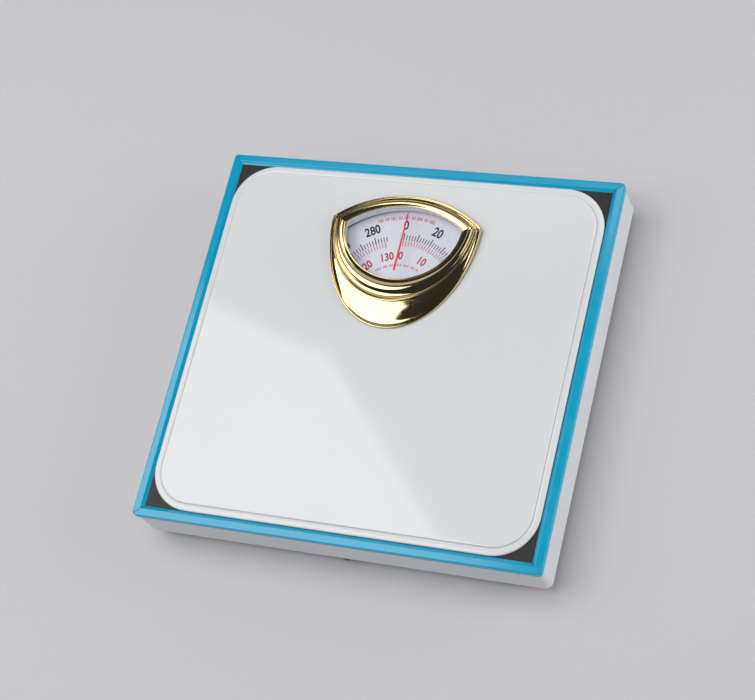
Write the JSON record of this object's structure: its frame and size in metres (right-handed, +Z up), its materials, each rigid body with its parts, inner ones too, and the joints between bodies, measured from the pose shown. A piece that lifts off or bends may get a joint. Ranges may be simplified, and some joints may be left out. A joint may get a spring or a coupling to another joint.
{
  "type": "mechanical dial platform scale",
  "caption": "Square-cornered personal weighing scale with a step-on platform, hidden levers and main spring, and a rotating dial read through a raised gold window.",
  "frame": {"origin": "on the floor under the middle of the platform, at the bottom of the rubber feet", "axes": "+X to the user's right, +Y away from the user towards the dial, +Z up"},
  "size_m": [0.28, 0.266, 0.0515],
  "materials": {
    "tray": "pressed steel, light grey paint",
    "bracket": "zinc-plated pressed steel",
    "zinc_steel": "zinc-plated sheet steel",
    "lever_steel": "black oxide steel strip",
    "bright_steel": "turned bright steel",
    "spring_steel": "oiled spring wire",
    "brass": "machined brass",
    "rubber": "moulded black rubber",
    "white_plastic": "satin white moulding",
    "white_tread": "glossy white",
    "blue_trim": "semi-gloss cyan blue moulding",
    "dark_pan": "fine textured charcoal paint",
    "gold_chrome": "gold vacuum plating",
    "clear_lens": "clear acrylic",
    "red_pointer": "satin red",
    "wheel_plastic": "satin slate-grey moulding",
    "hub_plastic": "satin white moulding",
    "dial_face": "printed sheet aluminium, pale lavender grey"
  },
  "bodies": {
    "base": {"base_tray": "tray", "foot_front_left": "rubber", "foot_front_right": "rubber", "foot_rear_left": "rubber", "foot_rear_right": "rubber", "fulcrum_post_front_left": "bracket", "fulcrum_post_front_right": "bracket", "fulcrum_post_rear_left": "bracket", "fulcrum_post_rear_right": "bracket", "spring_bracket": "bracket", "crank_bracket": "bracket", "crank_pin": "bright_steel", "dial_bracket": "zinc_steel", "dial_bushes": "brass", "rack_guide": "bracket", "base_rivets": "bright_steel"},
    "platform": {"skirt": "white_plastic", "trim_frame": "blue_trim", "platform_pan": "dark_pan", "tread_plate": "white_tread", "bezel": "gold_chrome", "bezel_clips": "bright_steel", "lens": "clear_lens", "window_shroud": "white_plastic", "pointer": "red_pointer", "hanger_front_left": "bracket", "hanger_front_right": "bracket", "hanger_rear_left": "bracket", "hanger_rear_right": "bracket", "hanger_rivets": "bright_steel", "skirt_screws": "bright_steel"},
    "long_levers": {"long_lever_left": "lever_steel", "long_lever_right": "lever_steel", "long_lever_pins": "bright_steel", "lever_tie": "lever_steel", "nose_pin": "bright_steel", "lever_stirrups": "bright_steel"},
    "short_lever_left": {"short_lever_left": "lever_steel", "short_lever_left_pins": "bright_steel"},
    "short_lever_right": {"short_lever_right": "lever_steel", "short_lever_right_pins": "bright_steel"},
    "calibration_plate": {"calibration_plate": "zinc_steel", "main_spring": "spring_steel"},
    "spring_carrier": {"spring_carrier": "zinc_steel"},
    "thumbwheel": {"thumbwheel": "wheel_plastic", "zero_screw": "bright_steel"},
    "crank": {"crank": "brass", "crank_rollers": "bright_steel"},
    "rack": {"rack": "brass", "rack_spring": "spring_steel"},
    "dial": {"dial_disc": "dial_face", "dial_hub": "hub_plastic", "dial_shaft": "bright_steel", "dial_pinion": "brass"}
  },
  "joints": [
    {"name": "dial_spin", "type": "hinge", "parent": "base", "child": "dial", "pos_m": [0, 0.035, 0.03], "axis": [0, 0, 1], "range_deg": [0, 343.8], "stiffness_Nm_per_rad": 0.0234},
    {"name": "platform_press", "type": "slide", "parent": "base", "child": "platform", "axis": [0, 0, -1], "range_m": [0, 0.00075], "stiffness_N_per_m": 200000, "springref_m": -0.00006},
    {"name": "long_lever_tilt", "type": "hinge", "parent": "base", "child": "long_levers", "pos_m": [0, 0.104, 0.021], "axis": [1, 0, 0], "range_deg": [0, 2.69]},
    {"name": "short_lever_left_tilt", "type": "hinge", "parent": "base", "child": "short_lever_left", "pos_m": [-0.108, -0.104, 0.021], "axis": [-1, 0, 0], "range_deg": [0, 2.69]},
    {"name": "short_lever_right_tilt", "type": "hinge", "parent": "base", "child": "short_lever_right", "pos_m": [0.108, -0.104, 0.021], "axis": [-1, 0, 0], "range_deg": [0, 2.69]},
    {"name": "calibration_plate_drop", "type": "slide", "parent": "base", "child": "calibration_plate", "axis": [0, 0, -1], "range_m": [0, 0.00933], "deforming": ["main_spring"]},
    {"name": "crank_swing", "type": "hinge", "parent": "base", "child": "crank", "pos_m": [0, -0.08, 0.01533], "axis": [1, 0, 0], "range_deg": [0, 47]},
    {"name": "rack_travel", "type": "slide", "parent": "base", "child": "rack", "axis": [0, -1, 0], "range_m": [0, 0.01441], "deforming": ["rack_spring"]},
    {"name": "zero_wheel_turn", "type": "hinge", "parent": "base", "child": "thumbwheel", "pos_m": [0, -0.1263, 0.0085], "axis": [0, 0, 1], "range_deg": [-180, 180]},
    {"name": "spring_carrier_lift", "type": "slide", "parent": "base", "child": "spring_carrier", "axis": [0, 0, 1], "range_m": [-0.00035, 0.00035]}
  ],
  "couplings": [
    {"joint": "long_lever_tilt", "follows": "platform_press", "rad_per_m": 62.5},
    {"joint": "short_lever_left_tilt", "follows": "platform_press", "rad_per_m": 62.5},
    {"joint": "short_lever_right_tilt", "follows": "platform_press", "rad_per_m": 62.5},
    {"joint": "calibration_plate_drop", "follows": "platform_press", "ratio": 12.438},
    {"joint": "crank_swing", "follows": "platform_press", "rad_per_m": 1093.7},
    {"joint": "rack_travel", "follows": "platform_press", "ratio": 19.201},
    {"joint": "dial_spin", "follows": "platform_press", "rad_per_m": 8000.5},
    {"joint": "zero_wheel_turn", "follows": "spring_carrier_lift", "rad_per_m": 8975.9}
  ]
}
